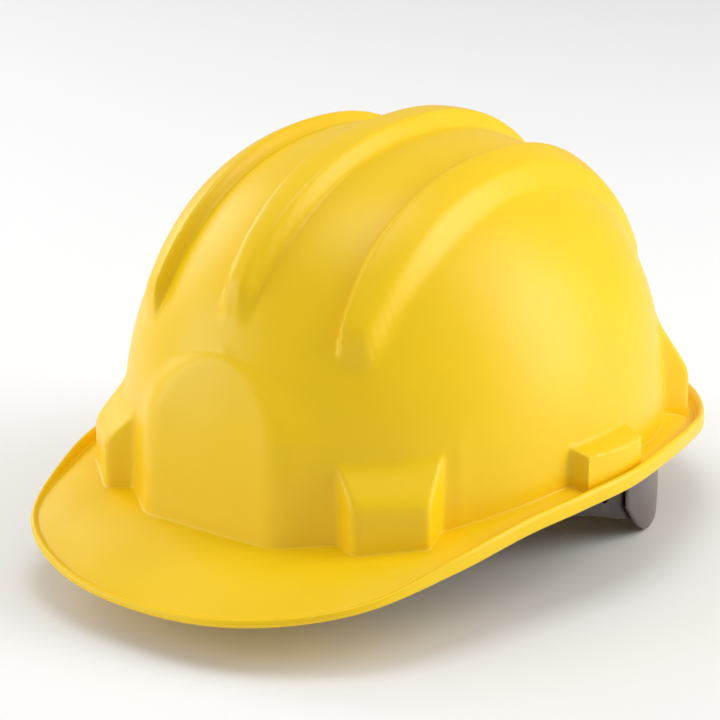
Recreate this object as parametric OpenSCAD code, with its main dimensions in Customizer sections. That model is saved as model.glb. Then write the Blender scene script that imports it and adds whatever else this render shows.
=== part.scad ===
// Industrial hard hat: ribbed shell with a peak, six-point textile cradle and a
// rear nape harness with a rack-and-pinion size adjuster.
// Millimetres. +Z up, the peak points to -Y, +X is the wearer's left.

/* [Shell] */
// Outside width of the dome at the hat line
dome_w = 202; // [196:1:208]
// Reach of the dome in front of its centre
dome_front = 118; // [115:1:121]
// Reach of the dome behind its centre
dome_rear = 113; // [111:1:116]
// Height of the dome above the hat line
dome_h = 118.5; // [116:0.5:122]
// Wall thickness of the shell
wall = 2.3; // [2:0.1:2.6]
// Height of the three crown ribs
rib_h = 6.4; // [4:0.2:8]
// Width of one crown rib at its root
rib_w = 21; // [17:1:24]
// Distance between rib centres
rib_pitch = 49; // [46:1:50]

/* [Cradle] */
// Width of the crown webbing
strap_w = 20; // [16:1:21]
// Gap between the crown webbing and the shell
crown_gap = 32; // [28:1:36]
// Radius of the pad under the webbing crossing
crown_pad_r = 34; // [28:1:38]

// Radius of the chin strap holes in the headband
chin_hole_r = 2.5; // [2:0.1:3]

/* [Adjuster] */
// Diameter of the adjuster knob
knob_d = 27; // [24:1:29]
// Thickness of the adjuster knob
knob_t = 12; // [10:0.5:14]

/* [Hidden] */
$fn = 48;

// Shell datums
centre_y = 8;
hat_z = 45;
top_z = hat_z + dome_h;
flare = 0.08;
power_front = 2.05;
power_rear = 2.2;
power_up = 2.33;

// Every 15 degrees from the peak round to the back of the hat
rim_reach = [160.5, 161, 154.5, 134, 118, 113, 113.5, 114.5, 119, 128, 136.5, 142.5, 144.5];
rim_low = [14.5, 17, 23, 30, 35, 38, 40, 40.5, 38, 34, 32.5, 32.5, 32.5];
root_z = [33.5, 34, 35, 38, 41.5, 44, 45, 44.5, 43, 42, 41, 40.5, 40];

brim_t = 2.4;
edge_h = 3.2;
lip_h = 6.6;
columns = 72;
dome_rows = 10;

// Ribs, as angles in the side view, 0 at the front and 180 at the back
rib_front = [31.5, 29.5];
rib_back = 158;
rib_steps = 26;
rib_sides = 8;

// Emblem panel
panel_half = 32;
panel_slope = 14;
panel_low = 31;
panel_spring = 68;
panel_top = 100;

// Suspension pockets: angle round the shell, angle of the face, root and face
// widths, reach, bottom, top of the face, top of the slope, top of the slot
front_pocket = [35, 41, 40, 29, 10, 32, 54, 66, 53];
side_pocket = [87.2, 88, 38, 34, 8.5, 41.5, 57, 59, 54];
rear_pocket = [141.2, 138, 40, 33, 9, 36.8, 62, 77, 58];

// Keys
tongue_w = 25.4;
tongue_t = 3.6;
neck_w = 15.4;
plate_w = 26;
plate_back = 8;
plate_t = 3;
plate_low = 34.4;
plate_top = 60;
window_low = 52.5;
window_top = 56;
fit_gap = 0.3;
web_t = 1.2;
web_back = plate_back + plate_t + 1;
web_layer = 2;

// Bands behind the head lie on circles about this point
nape_y = centre_y + 26;
band_b = 122;
band_power = 2.2;
band_t = 1.8;
arm_r = 90.3;
nape_r = 92.5;
nape_t = 1.8;
lobe_front = 82;
lobe_back = 66;
stud_angles = [67, 77];
rack_t = 1.4;
left_rack_r = 88.1;
right_rack_r = 86.3;
rack_low = 8;
rack_high = 24;
rack_end = 66;
rack_tail = 16;
slot_half = 12;
gear_z = 16;
gear_teeth = 8;
gear_r = 4;
tooth_h = 0.9;
house_half = 27;
house_low = 3;
house_high = 29;
cover_r = 84.4;
cover_t = 2;
screw_a = 22;
screw_low = 5.4;
screw_high = 26.6;
screw_r = 1.2;
knob_r0 = nape_r + 0.6;
nape_pad_r = 82.1;
nape_pad_t = 4.5;

function clip(v) = min(max(v, 0), 1);
function ease(v) = let (c = clip(v)) c * c * (3 - 2 * c);
function mirrored(k) = k < 0 ? -k : (k > 12 ? 24 - k : k);
function turn(a) = let (m = abs(a) % 360) m > 180 ? 360 - m : m;

// Smooth curve through a table with one value every 15 degrees
function around(t, a) =
    let (
        u = turn(a) / 15,
        i = floor(u),
        f = u - i,
        p0 = t[mirrored(i - 1)],
        p1 = t[mirrored(i)],
        p2 = t[mirrored(i + 1)],
        p3 = t[mirrored(i + 2)]
    )
    p1 + 0.5 * f * (p2 - p0 + f * (2 * p0 - 5 * p1 + 4 * p2 - p3 + f * (3 * (p1 - p2) + p3 - p0)));

// Distance from the centre line to a superellipse, a = 0 at the peak
function oval(a, w, f, r) =
    let (b = cos(a) > 0 ? f : r, p = cos(a) > 0 ? power_front : power_rear)
    pow(pow(abs(sin(a)) / w, p) + pow(abs(cos(a)) / b, p), -1 / p);
function dome_r(a, t = 0) = oval(a, dome_w / 2 - t, dome_front - t, dome_rear - t);
function shrink(z, t = 0) =
    z > hat_z
    ? pow(max(1 - pow((z - hat_z) / (dome_h - t), power_up), 0), 1 / power_up)
    : 1 + flare * (hat_z - z) / 100;

// Points of one column of the shell, from the outer top to the inner top
function dome_points(a, t) =
    [for (i = [1:dome_rows])
        let (h = 90 - i * 90 / dome_rows)
        [dome_r(a, t) * pow(cos(h), 2 / power_up), hat_z + (dome_h - t) * pow(sin(h), 2 / power_up)]];
function rim_points(a) =
    let (
        r = around(rim_reach, a),
        z = around(rim_low, a),
        h = edge_h + (lip_h - edge_h) * ease((turn(a) - 30) / 22),
        zr = around(root_z, a),
        rr = dome_r(a) * shrink(zr),
        ri = dome_r(a, wall) * shrink(zr),
        crown = 0.045 * (r - rr)
    )
    [
        [rr, zr + 2.2],
        [rr + 0.6, zr + 0.7],
        [rr + 2.2, zr],
        [(rr + r) / 2, (zr + z + brim_t) / 2 + crown],
        [r - 3.4, z + brim_t + 0.2],
        [r - 2.6, z + h - 0.9],
        [r - 1.5, z + h],
        [r - 0.4, z + h - 0.6],
        [r, z + 1],
        [r - 0.8, z],
        [r - 2.6, z + 0.1],
        [(ri + r) / 2, (zr + z + brim_t) / 2 + crown - brim_t],
        [ri + 0.6, zr - brim_t - 0.2]
    ];
function column(a) = concat(
    dome_points(a, 0),
    rim_points(a),
    [for (i = [dome_rows - 1:-1:0]) dome_points(a, wall)[i]]
);
function place(a, rz) = [rz[0] * sin(a), centre_y - rz[0] * cos(a), rz[1]];

module bare_shell() {
    per = 2 * dome_rows + 13;
    points = concat(
        [for (c = [0:columns - 1]) for (p = column(c * 360 / columns)) place(c * 360 / columns, p)],
        [[0, centre_y, top_z], [0, centre_y, top_z - wall]]
    );
    last = columns * per;
    rings = [
        for (c = [0:columns - 1]) for (i = [0:per - 2])
            let (d = (c + 1) % columns)
            [[c * per + i, d * per + i, d * per + i + 1], [c * per + i, d * per + i + 1, c * per + i + 1]]
    ];
    polyhedron(points, concat(
        [for (q = rings) for (f = q) f],
        [for (c = [0:columns - 1]) [last, ((c + 1) % columns) * per, c * per]],
        [for (c = [0:columns - 1]) [last + 1, c * per + per - 1, ((c + 1) % columns) * per + per - 1]]
    ), convexity = 10);
}

// Distance from the rib axis to the dome along a ray in the side view
function inside(x, y, z, t) =
    let (
        k = max(shrink(z, t), 0.001),
        b = (y < 0 ? dome_front : dome_rear) - t,
        p = y < 0 ? power_front : power_rear
    )
    pow(abs(x) / (dome_w / 2 - t) / k, p) + pow(abs(y) / b / k, p) < 1;
function hit(x, s, t, lo, hi, n) =
    n == 0 ? lo :
    let (m = (lo + hi) / 2)
    inside(x, -m * cos(s), hat_z + m * sin(s), t) ? hit(x, s, t, m, hi, n - 1) : hit(x, s, t, lo, m, n - 1);
function rib_shape(u) = let (v = ease((1 - abs(u)) * 2.1)) v * (0.86 + 0.14 * (1 - u * u));
function rib_fade(s, first) = ease((s - first) / 8.5) * ease((rib_back - s) / 12);

// One rib strip: over is its height, t the depth of its base surface
module rib(x0, first, half, over, t, sink) {
    n = rib_sides;
    stations = [for (j = [0:rib_steps]) first + (rib_back - first) * j / rib_steps];
    points = [
        for (s = stations) for (side = [1, 0]) for (i = [0:n])
            let (
                u = -1 + 2 * (side == 1 ? i : n - i) / n,
                w = half * (0.68 + 0.32 * ease((s - first) / 30)),
                x = x0 + u * w,
                d = hit(x, s, t, 0, 140, 22),
                r = side == 1 ? d + over * rib_shape(u) * rib_fade(s, first) - 0.05 : d - sink
            )
            [x, centre_y - r * cos(s), hat_z + r * sin(s)]
    ];
    m = 2 * n + 2;
    walls = [
        for (j = [0:rib_steps - 1]) for (i = [0:m - 1])
            let (k = (i + 1) % m)
            [[j * m + i, (j + 1) * m + i, (j + 1) * m + k], [j * m + i, (j + 1) * m + k, j * m + k]]
    ];
    polyhedron(points, concat(
        [for (q = walls) for (f = q) f],
        [[for (i = [0:m - 1]) i]],
        [[for (i = [m - 1:-1:0]) rib_steps * m + i]]
    ), convexity = 6);
}
module ribs(half, over, t, sink) {
    rib(0, rib_front[0], half, over, t, sink);
    for (side = [-1, 1])
        rib(side * rib_pitch, rib_front[1], half, over, t, sink);
}

// Flat-faced arch on the forehead for a badge
function panel_y(z) = centre_y - dome_front * shrink(z) - 0.5;
function panel_x(z) =
    z < panel_spring ? panel_half
    : panel_half * sqrt(max(1 - pow((z - panel_spring) / (panel_top - panel_spring), 2), 0.02));
module panel() {
    levels = [for (i = [0:9]) panel_low + (panel_top - panel_low) * i / 9];
    points = [
        for (z = levels)
            for (q = [[-1, 0], [1, 0], [1, panel_slope], [-1, panel_slope]])
                [q[0] * (panel_x(z) + q[1]), panel_y(z) + q[1], z]
    ];
    walls = [
        for (j = [0:8]) for (i = [0:3])
            let (k = (i + 1) % 4)
            [[j * 4 + i, (j + 1) * 4 + i, (j + 1) * 4 + k], [j * 4 + i, (j + 1) * 4 + k, j * 4 + k]]
    ];
    polyhedron(points, concat(
        [for (q = walls) for (f = q) f],
        [[0, 1, 2, 3]],
        [[39, 38, 37, 36]]
    ), convexity = 4);
}

// Local frame of a pocket: +X out of the shell, origin on the outside of the wall
module at_pocket(p, side) {
    mirror([side < 0 ? 1 : 0, 0, 0])
        translate([dome_r(p[0]) * sin(p[0]), centre_y - dome_r(p[0]) * cos(p[0]), 0])
            rotate([0, 0, p[1] - 90])
                children();
}
module boss(p) {
    r = 1.6;
    hull() {
        for (s = [-1, 1]) {
            translate([-3, s * (p[2] / 2 - r), p[5]])
                sphere(r = r, $fn = 12);
            translate([p[4] - r, s * (p[3] / 2 - r), p[5]])
                sphere(r = r, $fn = 12);
            translate([p[4] - r, s * (p[3] / 2 - r), p[6]])
                sphere(r = r, $fn = 12);
            translate([-3, s * (p[2] / 2 - r), p[7] + 1])
                sphere(r = r, $fn = 12);
        }
    }
}
module box(x0, x1, w, z0, z1) {
    translate([x0, -w / 2, z0])
        cube([x1 - x0, w, z1 - z0]);
}
module key_slot(p) {
    box(-8, 1.61, neck_w + 2 * fit_gap, 20, p[8]);
    box(1.6, 1.6 + tongue_t + 2 * fit_gap, tongue_w + 2 * fit_gap, 20, p[8]);
}
module each_pocket() {
    for (side = [-1, 1]) {
        at_pocket(front_pocket, side) children(0);
        at_pocket(side_pocket, side) children(1);
        at_pocket(rear_pocket, side) children(2);
    }
}
module shell() {
    color([0.98, 0.8, 0.05])
        difference() {
            union() {
                bare_shell();
                ribs(rib_w / 2, rib_h, 0, wall - 0.3);
                panel();
                each_pocket() {
                    boss(front_pocket);
                    boss(side_pocket);
                    boss(rear_pocket);
                }
            }
            ribs(rib_w / 2 - 2.2, rib_h, wall, 3);
            each_pocket() {
                key_slot(front_pocket);
                key_slot(side_pocket);
                key_slot(rear_pocket);
            }
        }
}

// Webbing lines: the two ends of each crown strap on the outside of the wall
function wall_at(a, side) = [side * dome_r(a) * sin(a), centre_y - dome_r(a) * cos(a)];
function line_angle(p, q) = atan2(p[1] - q[1], p[0] - q[0]);
module on_line(p, q) {
    translate([(p[0] + q[0]) / 2, (p[1] + q[1]) / 2, 0])
        rotate([0, 0, line_angle(p, q)])
            children();
}
crown_z = top_z - wall - crown_gap;
fold_z = 66;
// Centre line of the webbing from its folded end over to the crown
function web_path(reach, top) = concat(
    [
        [reach - plate_back - 2.55, 72],
        [reach - plate_back - 2.55, 60.9],
        [reach - plate_back + 0.9, 60.9],
        [reach - plate_back + 0.9, 54.2],
        [reach - web_back, 54.2],
        [reach - web_back, fold_z]
    ],
    [for (h = [10:10:90])
        [(reach - web_back) * pow(cos(h), 0.85), fold_z + (top - fold_z) * pow(sin(h), 0.85)]]
);
function side_shift(p, q, r, t) =
    let (
        d1 = (q - p) / norm(q - p),
        d2 = (r - q) / norm(r - q),
        n1 = [-d1[1], d1[0]],
        n2 = [-d2[1], d2[0]],
        m = (n1 + n2) / norm(n1 + n2)
    )
    q + m * t / max(m * n1, 0.4);
function offset_path(c, t) = [
    for (i = [0:len(c) - 1])
        i == 0 ? side_shift(2 * c[0] - c[1], c[0], c[1], t)
        : (i == len(c) - 1 ? side_shift(c[i - 1], c[i], 2 * c[i] - c[i - 1], t)
        : side_shift(c[i - 1], c[i], c[i + 1], t))
];
function reversed(c) = [for (i = [len(c) - 1:-1:0]) c[i]];
module webbing(p, q, top) {
    reach = norm(p - q) / 2;
    half = web_path(reach, top);
    mirror_half = [for (c = half) [-c[0], c[1]]];
    all = concat(half, [for (i = [len(half) - 2:-1:0]) mirror_half[i]]);
    on_line(p, q)
        rotate([90, 0, 0])
            linear_extrude(height = strap_w, center = true)
                polygon(concat(offset_path(all, web_t / 2), reversed(offset_path(all, -web_t / 2))));
}
front_l = wall_at(front_pocket[0], 1);
front_r = wall_at(front_pocket[0], -1);
side_l = wall_at(side_pocket[0], 1);
side_r = wall_at(side_pocket[0], -1);
rear_l = wall_at(rear_pocket[0], 1);
rear_r = wall_at(rear_pocket[0], -1);
web_color = [0.2, 0.2, 0.22];
module crown_strap_left() {
    color(web_color)
        webbing(front_l, rear_r, crown_z);
}
module crown_strap_right() {
    color(web_color)
        webbing(front_r, rear_l, crown_z - web_layer);
}
module crown_strap_cross() {
    color(web_color)
        webbing(side_l, side_r, crown_z - 2 * web_layer);
}
module crown_pad() {
    color([0.25, 0.25, 0.27])
        translate([0, centre_y, crown_z - 2 * web_layer - web_t / 2 - 7])
            cylinder(h = 4, r = crown_pad_r);
}

// Headband plan: an egg that is widest behind the ears
// Point of the band at angle a about the nape centre, a = 0 at the back
function band_point(a, out) =
    turn(a) <= 90 ? [(arm_r + out) * sin(a), nape_y + (arm_r + out) * cos(a)]
    : let (
        w = arm_r + out,
        b = band_b + out,
        r = pow(pow(abs(sin(a)) / w, band_power) + pow(abs(cos(a)) / b, band_power), -1 / band_power)
    )
    [r * sin(a), nape_y + r * cos(a)];
// Lower and upper edge of the headband, a measured from the back
function band_low(a) = 24 - 16 * ease((114 - turn(a)) / 38);
function band_high(a) = 50 - 16 * ease((118 - turn(a)) / 44);
function ring_of(p_in, p_out, lo, hi) = [
    [p_in[0], p_in[1], lo],
    [p_out[0], p_out[1], lo],
    [p_out[0], p_out[1], hi],
    [p_in[0], p_in[1], hi]
];
// A thin band through a list of four-point rings
module strip(rings) {
    last = len(rings) - 1;
    walls = [
        for (j = [0:last - 1]) for (i = [0:3])
            let (k = (i + 1) % 4)
            [[j * 4 + i, (j + 1) * 4 + i, (j + 1) * 4 + k], [j * 4 + i, (j + 1) * 4 + k, j * 4 + k]]
    ];
    polyhedron([for (r = rings) for (p = r) p], concat(
        [for (q = walls) for (f = q) f],
        [[0, 1, 2, 3]],
        [[last * 4 + 3, last * 4 + 2, last * 4 + 1, last * 4]]
    ), convexity = 8);
}
band_start = 43;
chin_a = 96;
chin_z = 25;
module headband() {
    angles = [for (i = [0:60]) band_start + (360 - 2 * band_start) * i / 60];
    color([0.16, 0.13, 0.12])
        difference() {
            strip([for (a = angles) ring_of(band_point(a, -band_t), band_point(a, 0), band_low(a), band_high(a))]);
            for (side = [-1, 1]) {
                at_key(front_pocket, side, 1) box(-60, -9, 8, 36.4, 41.6);
                at_key(side_pocket, side, 0) box(-40, -9, 8, 36.4, 41.6);
                at_key(rear_pocket, side, 1) box(-8, 6, 8, 27.4, 32.6);
                nape_holes(side, 1.65);
            }
            for (side = [-1, 1])
                translate([0, nape_y, chin_z])
                    rotate([0, 0, -side * chin_a])
                        rotate([-90, 0, 0])
                            translate([0, 0, 60])
                                cylinder(h = 60, r = chin_hole_r);
        }
}

// Frame of a key: +X away from the middle of the hat along its crown strap
module at_key(p, side, diagonal) {
    here = wall_at(p[0], side);
    opposite = diagonal == 0 ? wall_at(p[0], -side)
        : wall_at(p[0] < 90 ? rear_pocket[0] : front_pocket[0], -side);
    translate([here[0], here[1], 0])
        rotate([0, 0, line_angle(here, opposite)])
            children();
}
module key(p, side, diagonal, arm, low) {
    color([0.14, 0.12, 0.11]) {
        at_pocket(p, side) {
            box(1.6 + fit_gap, 1.6 + fit_gap + tongue_t, tongue_w, 39, p[8] - 1);
            box(-plate_back - 0.4, 1.6 + fit_gap, neck_w, 39, 51.5);
        }
        at_key(p, side, diagonal) {
            difference() {
                union() {
                    box(-plate_back - plate_t, -plate_back, plate_w, plate_low, plate_top);
                    box(-plate_back - plate_t, -plate_back, 12, low, plate_low + 1);
                }
                box(-plate_back - plate_t - 1, -plate_back + 1, strap_w + 1.6, window_low, window_top);
            }
            if (arm > 0) {
                box(-plate_back - plate_t - arm, -plate_back - plate_t, 12, 36, 42);
                box(-plate_back - plate_t - arm - 3.4, -plate_back - plate_t - arm, 6, 37, 41);
            }
            if (arm == 0)
                box(-plate_back - 0.1, -2.7, 6, 28, 32);
        }
    }
}
front_arm = 7.2;
side_arm = 0.9;
module key_front_left() { key(front_pocket, 1, 1, front_arm, plate_low); }
module key_front_right() { key(front_pocket, -1, 1, front_arm, plate_low); }
module key_side_left() { key(side_pocket, 1, 0, side_arm, plate_low); }
module key_side_right() { key(side_pocket, -1, 0, side_arm, plate_low); }
module key_rear_left() { key(rear_pocket, 1, 1, 0, 27); }
module key_rear_right() { key(rear_pocket, -1, 1, 0, 27); }

// Sweatband inside the front of the headband
module sweatband() {
    angles = [for (i = [0:40]) 108 + (360 - 216) * i / 40];
    color([0.1, 0.1, 0.11])
        strip([for (a = angles) ring_of(band_point(a, -band_t - 5.4), band_point(a, -band_t - 1.9), 19, 54)]);
}

// Nape strap with a rounded lobe behind each ear
function nape_low(a) =
    let (
        t = turn(a),
        corner = t > lobe_front - 7 ? 9 - sqrt(max(81 - pow((t - lobe_front + 7) * 9 / 7, 2), 0)) : 0,
        back = 5 * ease((lobe_back - t) / 6)
    )
    corner + back - 3.5 * ease((34 - t) / 8);
function nape_high(a) = 34 - 3 * ease((40 - turn(a)) / 12);
module nape_holes(side, r) {
    for (a = stud_angles)
        translate([0, nape_y, 29])
            rotate([0, 0, -side * a])
                rotate([-90, 0, 0])
                    translate([0, 0, 70])
                        cylinder(h = 50, r = r, $fn = 12);
}
module nape_strap() {
    angles = [for (i = [0:82]) -lobe_front + 2 * lobe_front * i / 82];
    color([0.2, 0.16, 0.15])
        difference() {
            strip([for (a = angles)
                let (
                    s = [sin(a), cos(a)],
                    i = (nape_r - nape_t) * s + [0, nape_y],
                    o = nape_r * s + [0, nape_y]
                )
                ring_of(i, o, nape_low(a), nape_high(a))]);
            nape_holes(1, 1.65);
            nape_holes(-1, 1.65);
            gear_axis()
                cylinder(h = 40, r = 4.2);
            housing_screw_axes()
                cylinder(h = 40, r = screw_r + 0.1, $fn = 24);
        }
}
module nape_studs() {
    color([0.12, 0.1, 0.1])
        for (side = [-1, 1])
            for (a = stud_angles)
                translate([0, nape_y, 29])
                    rotate([0, 0, -side * a])
                        rotate([-90, 0, 0]) {
                            translate([0, 0, arm_r - band_t - 1.4])
                                cylinder(h = nape_r - arm_r + band_t + 1.6, r = 1.5, $fn = 24);
                            translate([0, 0, arm_r - band_t - 1.4])
                                cylinder(h = 1.2, r = 2.6, $fn = 24);
                            translate([0, 0, nape_r + 0.15])
                                cylinder(h = 1, r = 2.6, $fn = 24);
                        }
}

// Adjuster: both racks lie on circles about the nape centre
module gear_axis() {
    translate([0, nape_y + 70, gear_z])
        rotate([-90, 0, 0])
            children();
}
module housing_screw_axes() {
    for (a = [-screw_a, screw_a])
        for (z = [screw_low, screw_high])
            translate([0, nape_y, z])
                rotate([0, 0, a])
                    rotate([-90, 0, 0])
                        translate([0, 0, 70])
                            children();
}
// Arc of a flat ring about the nape centre, from angle a0 to a1 off the back
module arc(r_in, r_out, a0, a1, z0, z1) {
    translate([0, nape_y, 0])
        rotate([0, 0, 90 - a1])
            rotate_extrude(angle = a1 - a0, $fn = 180)
                translate([r_in, z0])
                    square([r_out - r_in, z1 - z0]);
}
module rack(r_out) {
    pitch_a = 360 * gear_r / gear_teeth / (r_out - rack_t / 2);
    half = gear_r * 3.1416 / gear_teeth / 2;
    edge = gear_r + 1.15;
    difference() {
        arc(r_out - rack_t, r_out, -rack_tail, rack_end, rack_low, rack_high);
        arc(r_out - rack_t - 1, r_out + 1, -slot_half, slot_half, gear_z - edge, gear_z + edge + 0.4);
    }
    for (i = [-5:4])
        translate([0, nape_y, gear_z])
            rotate([0, 0, (i + 0.5) * pitch_a])
                translate([0, r_out - 0.1, 0])
                    rotate([90, 0, 0])
                        linear_extrude(height = rack_t - 0.25)
                            polygon([
                                [-half - 0.22, -edge - 0.4],
                                [half + 0.22, -edge - 0.4],
                                [half - 0.42, -edge + 1.9],
                                [-half + 0.42, -edge + 1.9]
                            ]);
}
module left_rack() {
    color([0.18, 0.15, 0.14])
        rack(left_rack_r);
}
module right_rack() {
    color([0.18, 0.15, 0.14])
        translate([0, 0, 2 * gear_z])
            mirror([0, 0, 1])
                mirror([1, 0, 0])
                    rack(right_rack_r);
}
module ratchet_housing() {
    color([0.13, 0.11, 0.1])
        difference() {
            union() {
                arc(arm_r - band_t, arm_r, -house_half, house_half, house_low, house_high);
                arc(cover_r + 0.05, arm_r - band_t + 0.01, -house_half, house_half, rack_high + 0.5, house_high);
                arc(cover_r + 0.05, arm_r - band_t + 0.01, -house_half, house_half, house_low, rack_low - 0.5);
            }
            gear_axis()
                cylinder(h = 40, r = 3.6);
            housing_screw_axes()
                cylinder(h = 40, r = screw_r + 0.1, $fn = 24);
        }
}
module ratchet_cover() {
    color([0.13, 0.11, 0.1])
        difference() {
            arc(cover_r - cover_t, cover_r, -house_half, house_half, house_low, house_high);
            gear_axis()
                cylinder(h = 40, r = 2.1);
            housing_screw_axes()
                cylinder(h = 40, r = screw_r + 0.1, $fn = 24);
        }
}
module pinion() {
    half = 360 / gear_teeth / 4;
    color([0.75, 0.73, 0.68])
        gear_axis()
            difference() {
                union() {
                    translate([0, 0, cover_r + 0.2 - 70])
                        linear_extrude(height = left_rack_r - cover_r)
                            union() {
                                circle(r = gear_r - 1.1);
                                for (i = [0:gear_teeth - 1])
                                    rotate([0, 0, i * 360 / gear_teeth])
                                        polygon([
                                            [-0.95, 0],
                                            [0.95, 0],
                                            [0.75, gear_r - 0.6],
                                            [0.3, gear_r + tooth_h],
                                            [-0.3, gear_r + tooth_h],
                                            [-0.75, gear_r - 0.6]
                                        ]);
                            }
                    translate([0, 0, cover_r - cover_t - 70])
                        cylinder(h = 3, r = 2);
                    translate([0, 0, left_rack_r + 0.15 - 70])
                        cylinder(h = knob_r0 - left_rack_r - 0.15, r = 3.5);
                    translate([0, 0, knob_r0 - 70 - 0.01])
                        linear_extrude(height = 7.01)
                            square(4.6, center = true);
                }
                translate([0, 0, knob_r0 - 70])
                    cylinder(h = 20, r = 1.25, $fn = 24);
            }
}
module adjuster_knob() {
    r = knob_d / 2;
    grips = 12;
    color([0.11, 0.09, 0.09])
        gear_axis()
            translate([0, 0, knob_r0 - 70])
                difference() {
                    union() {
                        cylinder(h = knob_t - 1.5, r = r);
                        translate([0, 0, knob_t - 1.5])
                            cylinder(h = 1.5, r1 = r, r2 = r - 1.5);
                    }
                    for (i = [0:grips - 1])
                        rotate([0, 0, (i + 0.5) * 360 / grips])
                            translate([r + 1.6, 0, -1])
                                cylinder(h = knob_t + 2, r = 2.8, $fn = 32);
                    translate([0, 0, -0.01])
                        difference() {
                            cylinder(h = 3.2, r = r - 2.6);
                            translate([0, 0, -1])
                                cylinder(h = 6, r = 4.6);
                        }
                    translate([0, 0, -1])
                        linear_extrude(height = 8.1)
                            square(4.8, center = true);
                    translate([0, 0, 6])
                        cylinder(h = 10, r = 1.6, $fn = 24);
                    translate([0, 0, knob_t - 2.8])
                        cylinder(h = 4, r = 3.4, $fn = 32);
                }
}
module detent_spring() {
    r = knob_d / 2 - 3.2;
    color([0.7, 0.7, 0.72])
        gear_axis()
            translate([0, 0, knob_r0 - 70 + 0.3])
                linear_extrude(height = 0.6)
                    difference() {
                        union() {
                            circle(r = 6.2);
                            for (s = [0, 180])
                                rotate([0, 0, s + 45])
                                    translate([-1.1, 0])
                                        square([2.2, r]);
                        }
                        circle(r = 5);
                    }
}
module knob_screw() {
    color([0.75, 0.76, 0.78])
        gear_axis()
            difference() {
                union() {
                    translate([0, 0, knob_r0 - 70 + 0.5])
                        cylinder(h = knob_t - 2.6 - 0.5, r = 1.2, $fn = 24);
                    translate([0, 0, knob_r0 - 70 + knob_t - 2.7])
                        cylinder(h = 1.8, r = 3.1, $fn = 32);
                }
                for (s = [0, 90])
                    rotate([0, 0, s])
                        translate([-1.8, -0.35, knob_r0 - 70 + knob_t - 1.9])
                            cube([3.6, 0.7, 2]);
            }
}
module housing_screws() {
    color([0.75, 0.76, 0.78])
        housing_screw_axes()
            difference() {
                union() {
                    translate([0, 0, cover_r - cover_t + 0.2 - 70])
                        cylinder(h = nape_r + 0.25 - cover_r + cover_t, r = screw_r, $fn = 24);
                    translate([0, 0, nape_r + 0.25 - 70])
                        cylinder(h = 1.5, r = 2.4, $fn = 32);
                }
                for (s = [0, 90])
                    rotate([0, 0, s])
                        translate([-1.5, -0.3, nape_r + 0.95 - 70])
                            cube([3, 0.6, 2]);
            }
}
module nape_pad() {
    color([0.1, 0.1, 0.11])
        arc(nape_pad_r - nape_pad_t, nape_pad_r, -30, 30, 2, 31);
}

shell();
key_front_left();
key_front_right();
key_side_left();
key_side_right();
key_rear_left();
key_rear_right();
crown_strap_left();
crown_strap_right();
crown_strap_cross();
crown_pad();
headband();
sweatband();
nape_strap();
nape_studs();
nape_pad();
left_rack();
right_rack();
ratchet_housing();
ratchet_cover();
pinion();
adjuster_knob();
detent_spring();
knob_screw();
housing_screws();
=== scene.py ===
"""Yellow ribbed hard hat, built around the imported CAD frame.

Lengths are in millimetres until a mesh is made, and meshes are in metres. +Z is up, the peak
points to -Y and +X is the wearer's left. Bearings are degrees round the hat, 0 at the peak.
"""

import math

import bmesh
import bpy
import numpy as np
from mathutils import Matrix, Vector


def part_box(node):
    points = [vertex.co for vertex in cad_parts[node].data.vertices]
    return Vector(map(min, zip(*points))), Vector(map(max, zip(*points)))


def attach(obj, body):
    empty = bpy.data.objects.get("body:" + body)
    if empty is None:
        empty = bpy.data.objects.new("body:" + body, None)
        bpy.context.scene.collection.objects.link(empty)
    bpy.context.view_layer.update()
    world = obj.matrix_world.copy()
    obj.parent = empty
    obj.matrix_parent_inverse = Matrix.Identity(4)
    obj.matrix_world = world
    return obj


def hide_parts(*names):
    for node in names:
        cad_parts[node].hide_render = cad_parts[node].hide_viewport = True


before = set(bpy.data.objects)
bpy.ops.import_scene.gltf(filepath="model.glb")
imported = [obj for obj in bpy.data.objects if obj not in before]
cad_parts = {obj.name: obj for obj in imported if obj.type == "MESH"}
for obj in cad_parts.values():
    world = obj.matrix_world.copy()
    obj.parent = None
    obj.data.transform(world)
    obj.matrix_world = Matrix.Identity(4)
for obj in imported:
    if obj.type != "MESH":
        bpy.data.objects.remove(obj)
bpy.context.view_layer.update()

MM = 0.001

# ---------------------------------------------------------------- the hat's driving sizes
CENTRE_Y = 8
HAT_Z = 45
DOME_W = 202
DOME_FRONT = 118
DOME_REAR = 113
DOME_H = 118.5
WALL = 2.3
FLARE = 0.08
POWER_FRONT = 2.05
POWER_REAR = 2.2
POWER_UP = 2.33

RIM_REACH = [160.5, 161, 154.5, 134, 118, 113, 113.5, 114.5, 119, 128, 136.5, 142.5, 144.5]
RIM_LOW = [14.5, 17, 23, 30, 35, 38, 40, 40.5, 38, 34, 32.5, 32.5, 32.5]
ROOT_Z = [33.5, 34, 35, 38, 41.5, 44, 45, 44.5, 43, 42, 41, 40.5, 40]
COLUMNS = 400
CROWN_LOW = 104.0
FILLET = 2.6
BRIM_T = 2.4
EDGE_H = 3.2
LIP_H = 6.6

RIB_PITCH = 49
RIB_HALF = 10.5
RIB_H = 6.4
RIB_FRONT = {0: 31.5, 1: 29.5}
RIB_BACK = 158

PANEL_HALF = 32
PANEL_SPRING = 68
PANEL_TOP = 100

# bearing, facing, width at the root, width of the face, reach, top of the face, top of the
# slope, top of the slot
POCKETS = {
    "front": (35, 41, 40, 30, 10, 55, 66, 53),
    "side": (87.2, 88, 38, 34, 8.5, 57, 59, 54),
    "rear": (141.2, 138, 40, 33, 9, 62, 77, 58),
}


# ---------------------------------------------------------------- curves and blends
def smooth(t):
    t = np.clip(t, 0, 1)
    return t * t * (3 - 2 * t)


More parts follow.
